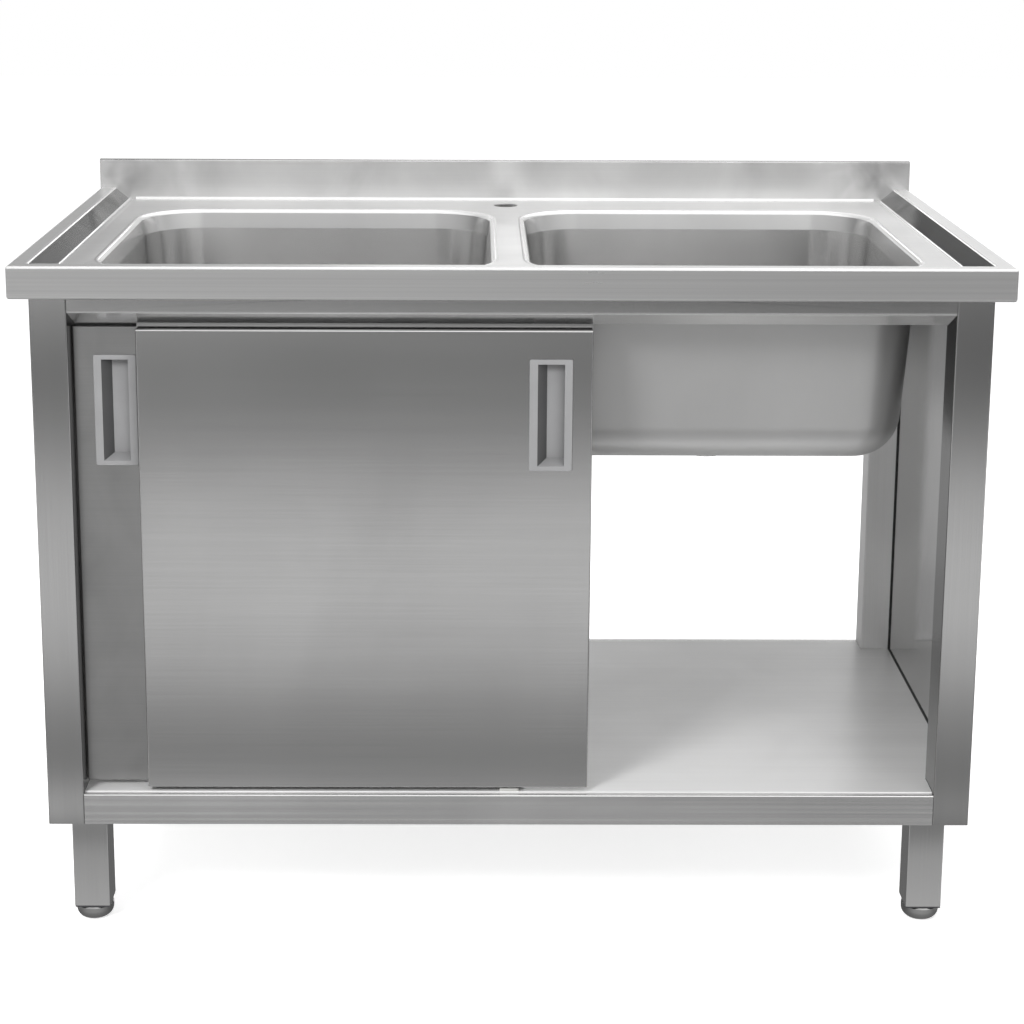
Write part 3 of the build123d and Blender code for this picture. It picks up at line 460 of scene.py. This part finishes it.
def make_materials():
    """Every finish by its short name."""
    coarse_grain = {"detail": 1.0, "relief": 0.0}
    return {
        "top": steel(
            "worktop_steel", 0.80, 0.32, metallic=0.86, fine=420.0, relief=0.005, mottle=0.05
        ),
        "fascia": steel(
            "fascia_steel", 0.76, 0.28, streak=0.05, fine=260.0, mottle=0.0, cloud=2.0, **coarse_grain
        ),
        # The folds' lighter tone than the top's is a painted highlight.
        "fold": steel("fold_steel", 0.90, 0.16, metallic=0.55, anisotropy=0.0, streak=0.02),
        # The slope's darker tone than the top's is painted shade.
        "slope": steel("slope_steel", 0.45, 0.16, grain="Y", relief=0.001, smudge=0.55),
        "bowl": steel(
            "bowl_steel", 0.69, 0.20, metallic=0.95, anisotropy=0.2, grain="Z", streak=0.015, mottle=0.06
        ),
        # Painted light on the bowls' slanted undersides.
        "bowl_outside": steel(
            "bowl_outside_steel",
            0.46,
            0.32,
            metallic=0.55,
            anisotropy=0.0,
            grain="Z",
            streak=0.005,
            relief=0.001,
            lip=1.4,
        ),
        # Painted shade on the splashback's top face.
        "splash": steel(
            "splashback_steel",
            0.85,
            0.24,
            metallic=0.65,
            streak=0.02,
            relief=0.001,
            mottle=0.12,
            cloud=9.0,
            smudge=0.38,
            top_shade=0.5,
        ),
        # Painted highlight on the doors' upward folds.
        "front_door": steel("front_door_steel", 0.58, 0.17, anisotropy=0.5, fold_highlight=1.7),
        # The rear door's darker tone than the front door's is painted shade.
        "rear_door": steel("rear_door_steel", 0.40, 0.34, mottle=0.08, cloud=14.0, fold_highlight=1.7),
        # Painted shade on the posts' inner sides.
        "post": steel("post_steel", 0.56, 0.22, grain="Z", inward_shade=0.45),
        # Painted highlight on the rail's upward fold and painted light on its slanted lip.
        "rail": steel("rail_steel", 0.50, 0.14, metallic=0.88, fold_highlight=1.9, lip=1.6),
        # Painted highlight on the bottom rails' upward folds.
        "low_rail": steel(
            "low_rail_steel",
            0.60,
            0.24,
            metallic=0.85,
            streak=0.09,
            fine=230.0,
            mottle=0.07,
            fold_highlight=1.6,
            **coarse_grain,
        ),
        # Painted highlight on the shelf's upward folds and painted light towards its front.
        "shelf": steel("shelf_steel", 0.70, 0.34, metallic=0.25, anisotropy=0.2, fold_highlight=1.2, near=1.4),
        "panel": steel("panel_steel", 0.52, 0.10, grain="Z"),
        # The rear posts' lighter tone than the front posts' is painted light.
        "rear_post": steel("rear_post_steel", 0.92, 0.36, metallic=0.60, grain="Z"),
        "leg": steel("leg_steel", 0.58, 0.22, grain="Z"),
        "foot": steel("foot_steel", 0.42, 0.22, anisotropy=0.0, grain="Z", streak=0.02),
        "polished": steel("waste_steel", 0.70, 0.14, anisotropy=0.0, streak=0.02),
        "zinc": plastic("zinc_plate", (0.62, 0.62, 0.60), 0.35, metallic=1.0),
        # The handles' recesses take painted shade.
        "handle": plastic("handle_plastic", (0.34, 0.34, 0.345), 0.42, pocket_shade=0.35),
        "nylon": plastic("white_nylon", (0.62, 0.62, 0.60), 0.45),
        "dark": plastic("dark_plastic", (0.06, 0.06, 0.065), 0.5),
        "rubber": plastic("black_rubber", (0.04, 0.04, 0.04), 0.7),
    }


def finish_of(name):
    """The finish that a CAD node takes, by its name."""
    if name == "splashback":
        return "splash"
    if name.endswith("handle"):
        return "handle"
    if "wheel" in name or name == "door_guide":
        return "nylon"
    if "gasket" in name or name == "track_stops":
        return "rubber"
    if "insert" in name or "waste_nut" in name:
        return "dark"
    if name.startswith("foot_"):
        return "foot"
    if "hanger" in name or "bolts" in name or "screws" in name:
        return "zinc"
    if name.startswith("waste_body"):
        return "polished"
    if name.startswith("front_door"):
        return "front_door"
    if name.startswith("rear_door"):
        return "rear_door"
    if "rear_post" in name:
        return "rear_post"
    if "post" in name:
        return "post"
    if "panel" in name:
        return "panel"
    if name.startswith("leg_") and "gusset" not in name:
        return "leg"
    if "shelf" in name and "stiffener" not in name:
        return "shelf"
    if name.startswith("bottom_") and name.endswith("rail"):
        return "low_rail"
    return "rail"


# ---------------------------------------------------------------- edges of the CAD pieces

EDGE = 0.00045  # width of the softened edges of folded sheet
THIN_EDGE = 0.0001  # on the doors' inner sheets
EDGES = {
    "splash": 0.00015,
    "handle": 0.0004,
    "nylon": 0.0004,
    "rubber": 0.0005,
    "dark": 0.0004,
    "foot": 0.0004,
    "zinc": 0.0002,
}
EDGE_STEPS = 2
EDGE_ANGLE = math.radians(32)
WELD_REACH = 0.00001
NORMAL_WEIGHT = 60


def shade_evenly(piece):
    shading = piece.modifiers.new("shading", "WEIGHTED_NORMAL")
    shading.weight = NORMAL_WEIGHT


def soften(piece, width):
    """Small rounded edges and even shading on a folded or moulded piece."""
    weld = piece.modifiers.new("weld", "WELD")
    weld.merge_threshold = WELD_REACH
    bevel = piece.modifiers.new("edges", "BEVEL")
    bevel.width = width
    bevel.segments = EDGE_STEPS
    bevel.limit_method = "ANGLE"
    bevel.angle_limit = EDGE_ANGLE
    shade_evenly(piece)


# ---------------------------------------------------------------- sections, rings and pieces

SHEET = 0.0012
HANDS = (("left", -1), ("right", 1))


def bend(before, corner, after, radius, steps):
    """Points of a rounded fold at a corner between two straight runs, in a section."""
    a = (before - corner).normalized()
    b = (after - corner).normalized()
    half = a.angle(b) / 2
    reach = radius / math.tan(half)
    centre = corner + (a + b).normalized() * (radius / math.sin(half))
    start = corner + a * reach - centre
    end = corner + b * reach - centre
    sweep = start.angle(end)
    points = []
    for step in range(steps + 1):
        t = step / steps
        blend = start * math.sin((1 - t) * sweep) + end * math.sin(t * sweep)
        points.append(centre + blend / math.sin(sweep))
    return points


def rounded_ring(centre, width, length, radius):
    """A rounded rectangle as a closed ring of points, anticlockwise from the right-hand side."""
    points = []
    for corner in range(4):
        sx = 1 if corner in (0, 3) else -1
        sy = 1 if corner in (0, 1) else -1
        cx = centre[0] + sx * (width / 2 - radius)
        cy = centre[1] + sy * (length / 2 - radius)
        for step in range(CORNER_STEPS + 1):
            angle = math.pi / 2 * (corner + step / CORNER_STEPS)
            points.append((cx + radius * math.cos(angle), cy + radius * math.sin(angle)))
    return points


def circle(centre, radius, steps):
    points = []
    for step in range(steps):
        angle = 2 * math.pi * step / steps
        points.append((centre[0] + radius * math.cos(angle), centre[1] + radius * math.sin(angle)))
    return points


def bridge(bm, ring_a, ring_b, closed, index=0):
    """Faces between two rings of vertices with as many points each."""
    count = len(ring_a)
    for i in range(count if closed else count - 1):
        j = (i + 1) % count
        face = bm.faces.new((ring_a[i], ring_a[j], ring_b[j], ring_b[i]))
        face.material_index = index


def add_piece(name, bm, finishes, smooth):
    """Turns a bmesh into a piece that rides on the cabinet."""
    mesh = bpy.data.meshes.new(name)
    bm.to_mesh(mesh)
    bm.free()
    for polygon in mesh.polygons:
        polygon.use_smooth = smooth
    for finish in finishes:
        mesh.materials.append(materials[finish])
    piece = bpy.data.objects.new(name, mesh)
    bpy.context.scene.collection.objects.link(piece)
    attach(piece, "cabinet")
    return piece


def add_sheet(name, bm, finishes, node, back_offset=0):
    """A piece of folded sheet that stands for a CAD node. Its faces are the sheet's outside.

    The other side of the sheet takes the finish that lies back_offset further down the list.
    """
    piece = add_piece(name, bm, finishes, smooth=True)
    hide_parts(node)
    thickness = piece.modifiers.new("thickness", "SOLIDIFY")
    thickness.thickness = SHEET
    thickness.material_offset = back_offset
    thickness.offset = -1
    shade_evenly(piece)


# ---------------------------------------------------------------- bowls

PLATE = 0.833  # height of the worktop's sunk plate
BOWL_X = 0.2685
BOWL_Y = -0.015
BOWL_SIZE = (0.490, 0.498)
BOWL_CORNER = 0.080
BOWL_LIP = 0.008
BOWL_DEPTH = 0.250
BOWL_ROLL = 0.006
BOWL_DRAFT = math.radians(4.3)
BOWL_FLOOR_ROUND = 0.055
CORNER_STEPS = 14
ROLL_STEPS = 7
WAIST_STEPS = 4
FLOOR_STEPS = 14
FLARE_DEPTH = 0.026  # the band below the edge, which opens wider than the wall
FLARE_DRAFT = math.radians(11)
WAIST_ROUND = 0.012
WASTE_RADIUS = 0.0255
# The rolled edge takes the fold finish, whose lighter tone is a painted highlight.
BOWL_FINISHES = ["top", "fold", "bowl"]


def make_bowl(node, side):
    """A pressed bowl as one smooth skin: lip, rolled edge, drafted walls, rounded floor, waste hole."""
    mouth = Vector((0.0, PLATE))
    waist = mouth + Vector((FLARE_DEPTH * math.tan(FLARE_DRAFT), -FLARE_DEPTH))
    below = BOWL_DEPTH - FLARE_DEPTH
    foot = waist + Vector((below * math.tan(BOWL_DRAFT), -below))
    inwards = foot + Vector((0.1, 0))
    profile = [Vector((-BOWL_LIP, PLATE))]
    profile += bend(profile[0], mouth, waist, BOWL_ROLL, ROLL_STEPS)
    profile += bend(mouth, waist, foot, WAIST_ROUND, WAIST_STEPS)
    profile += bend(waist, foot, inwards, BOWL_FLOOR_ROUND, FLOOR_STEPS)
    bm = bmesh.new()
    centre = (side * BOWL_X, BOWL_Y)
    width, length = BOWL_SIZE
    rings = []
    for inset, height in profile:
        ring = rounded_ring(centre, width - 2 * inset, length - 2 * inset, BOWL_CORNER - inset)
        rings.append([bm.verts.new((x, y, height)) for x, y in ring])
    hole = []
    for vertex in rings[-1]:
        way = Vector((vertex.co.x - centre[0], vertex.co.y - centre[1])).normalized() * WASTE_RADIUS
        hole.append(bm.verts.new((centre[0] + way.x, centre[1] + way.y, profile[-1].y)))
    rings.append(hole)
    for step, (ring_a, ring_b) in enumerate(zip(rings, rings[1:])):
        finish = "top" if step == 0 else "fold" if step <= ROLL_STEPS else "bowl"
        bridge(bm, ring_a, ring_b, True, BOWL_FINISHES.index(finish))
    outside = ["bowl_outside"] * len(BOWL_FINISHES)
    add_sheet(f"{node}_skin", bm, BOWL_FINISHES + outside, node, back_offset=len(BOWL_FINISHES))


# ---------------------------------------------------------------- worktop

HALF_WIDTH = 0.600
FRONT = -0.350
SPLASH_FACE = 0.338
RIM_TOP = 0.850
FASCIA_BOTTOM = 0.810
RETURN = 0.012
RIM = 0.022
SLOPE = 0.021
FIELD = 0.052  # where the flat plate starts, from the worktop's edge
COVE = 0.0036
COVE_STEPS = 5
FOLD_STEPS = 6
FASCIA_FOLD = 0.0032
RIM_EDGE = 0.0030
RIM_FOLD = 0.0050  # radius of the folds above and below the slope
OUTER_CORNER = 0.0035  # radius of the front corners, seen from above
LEAST_CORNER = 0.0008
INNER_CORNER = 0.0022
RIM_CORNER_STEPS = 6
TAP_HOLE = (0.0, 0.285)
TAP_HOLE_RADIUS = 0.0175
TAP_HOLE_STEPS = 48
MERGE_REACH = 0.000001
WORKTOP_FINISHES = ["top", "fascia", "slope", "fold"]
# The finishes of the section's straight runs, and of the folds between them.
RUN_FINISHES = ["fascia", "fascia", "top", "slope", "top"]
# The fold finish's lighter tone is a painted highlight along the folds.
FOLD_FINISHES = ["fascia", "fold", "fold", "fold"]


def worktop_section():
    """The points of the sheet's section, as (inset, height), with its folds rounded."""
    stations = [
        (RETURN, FASCIA_BOTTOM, 0),
        (0.0, FASCIA_BOTTOM, FASCIA_FOLD),
        (0.0, RIM_TOP, RIM_EDGE),
        (RIM, RIM_TOP, RIM_FOLD),
        (RIM + SLOPE, PLATE, RIM_FOLD),
        (FIELD, PLATE, 0),
    ]
    spots = [Vector((inset, height)) for inset, height, _ in stations]
    points = [spots[0]]
    for before, corner, after, (_, _, radius) in zip(spots, spots[1:], spots[2:], stations[1:]):
        points += bend(before, corner, after, radius, FOLD_STEPS)
    points.append(spots[-1])
    return points


def rim_path(inset, radius):
    """The line at one inset round the front of the worktop, from the left back to the right back."""
    side = HALF_WIDTH - inset
    near = FRONT + inset
    path = [(-side, SPLASH_FACE)]
    for turn in range(RIM_CORNER_STEPS + 1):
        angle = math.pi + math.pi / 2 * turn / RIM_CORNER_STEPS
        path.append((-side + radius + radius * math.cos(angle), near + radius + radius * math.sin(angle)))
    return path + [(-x, y) for x, y in reversed(path)]


def make_worktop():
    """The worktop as one sheet: fascia, rim, slope, plate with its holes, and a cove at the back."""
    bm = bmesh.new()
    rings = []
    for inset, height in worktop_section():
        radius = max(OUTER_CORNER - inset, LEAST_CORNER) if inset < RIM / 2 else INNER_CORNER
        rings.append([bm.verts.new((x, y, height)) for x, y in rim_path(inset, radius)])
    # Every straight run of the section is followed by one fold.
    for step, (ring_a, ring_b) in enumerate(zip(rings, rings[1:])):
        run, within = divmod(step, FOLD_STEPS + 1)
        finish = FOLD_FINISHES[run] if within else RUN_FINISHES[run]
        bridge(bm, ring_a, ring_b, False, WORKTOP_FINISHES.index(finish))
    # The plate's outline is the last ring, with its two back ends moved forward by the cove.
    inner = rings[-1]
    back_y = SPLASH_FACE - COVE
    left = bm.verts.new((inner[0].co.x, back_y, PLATE))
    right = bm.verts.new((inner[-1].co.x, back_y, PLATE))
    edges = [bm.edges.new(pair) for pair in ((left, inner[1]), (inner[-2], right), (right, left))]
    edges += [bm.edges.get(pair) for pair in zip(inner[1:-1], inner[2:-1])]
    lip_size = [size + 2 * BOWL_LIP for size in BOWL_SIZE]
    holes = [rounded_ring((x, BOWL_Y), *lip_size, BOWL_CORNER + BOWL_LIP) for x in (-BOWL_X, BOWL_X)]
    holes.append(circle(TAP_HOLE, TAP_HOLE_RADIUS, TAP_HOLE_STEPS))
    for hole in holes:
        ring = [bm.verts.new((x, y, PLATE)) for x, y in hole]
        edges += [bm.edges.new(pair) for pair in zip(ring, ring[1:] + ring[:1])]
    bmesh.ops.triangle_fill(bm, use_beauty=True, use_dissolve=False, edges=edges, normal=(0, 0, 1))
    # The cove that runs up to the splashback along the plate's back edge.
    rows = [[left, right]]
    for step in range(1, COVE_STEPS + 1):
        angle = math.pi / 2 * step / COVE_STEPS
        y = back_y + COVE * math.sin(angle)
        z = PLATE + COVE * (1 - math.cos(angle))
        rows.append([bm.verts.new((end.co.x, y, z)) for end in (left, right)])
    for lower, upper in zip(rows, rows[1:]):
        bridge(bm, lower, upper, False, WORKTOP_FINISHES.index("fold"))
    bmesh.ops.remove_doubles(bm, verts=bm.verts, dist=MERGE_REACH)
    bmesh.ops.recalc_face_normals(bm, faces=bm.faces)
    top = max(bm.faces, key=lambda face: face.calc_center_median().z)
    if top.normal.z < 0:
        bmesh.ops.reverse_faces(bm, faces=bm.faces)
    add_sheet("worktop_sheet", bm, WORKTOP_FINISHES, "worktop")


# ---------------------------------------------------------------- dark strips as painted shadow in the gaps at the side panels

PANEL_FACE = 0.5738  # inner faces of the side panels, from the middle
POST_FACE = 0.2048  # front faces of the rear posts
SHELF_TOP = 0.1800
GAP_SHADOW = 0.0018
GAP_SHADOW_STEPS = 4
GAP_SHADOW_TOP = 0.800
GAP_SHADOW_FRONT = -0.278


def make_gap_shadow(name, side, corner, start, end, upright):
    """A dark strip that stands in for the shadow in a gap in a corner beside a side panel, as a
    quarter-round bar along Z or Y.
    """
    bm = bmesh.new()
    rings = []
    for place in (start, end):
        profile = [(0.0, 0.0)]
        for step in range(GAP_SHADOW_STEPS + 1):
            angle = math.pi / 2 * step / GAP_SHADOW_STEPS
            profile.append((GAP_SHADOW * math.cos(angle), GAP_SHADOW * math.sin(angle)))
        ring = []
        for inwards, lift in profile:
            x = side * (PANEL_FACE - inwards)
            spot = (x, corner - lift, place) if upright else (x, place, corner + lift)
            ring.append(bm.verts.new(spot))
        rings.append(ring)
    bridge(bm, rings[0], rings[1], True)
    for ring in rings:
        bm.faces.new(ring)
    bmesh.ops.recalc_face_normals(bm, faces=bm.faces)
    add_piece(name, bm, ["rubber"], smooth=False)


# ---------------------------------------------------------------- the scene

bpy.context.scene.view_settings.view_transform = "Standard"
make_camera()
make_world()
make_floor()
for lamp in LAMPS:
    make_lamp(*lamp)

materials = make_materials()
for name, piece in nodes.items():
    finish = finish_of(name)
    piece.data.materials.clear()
    piece.data.materials.append(materials[finish])
    soften(piece, THIN_EDGE if name.endswith("door_inner") else EDGES.get(finish, EDGE))

# Dark strips painted in as the shadow in the gaps beside the side panels.
for hand, side in HANDS:
    make_gap_shadow(f"post_gap_shadow_{hand}", side, POST_FACE, SHELF_TOP, GAP_SHADOW_TOP, upright=True)
    make_gap_shadow(f"shelf_gap_shadow_{hand}", side, SHELF_TOP, GAP_SHADOW_FRONT, POST_FACE, upright=False)
make_worktop()
for hand, side in HANDS:
    make_bowl(f"bowl_{hand}", side)

bpy.context.view_layer.update()
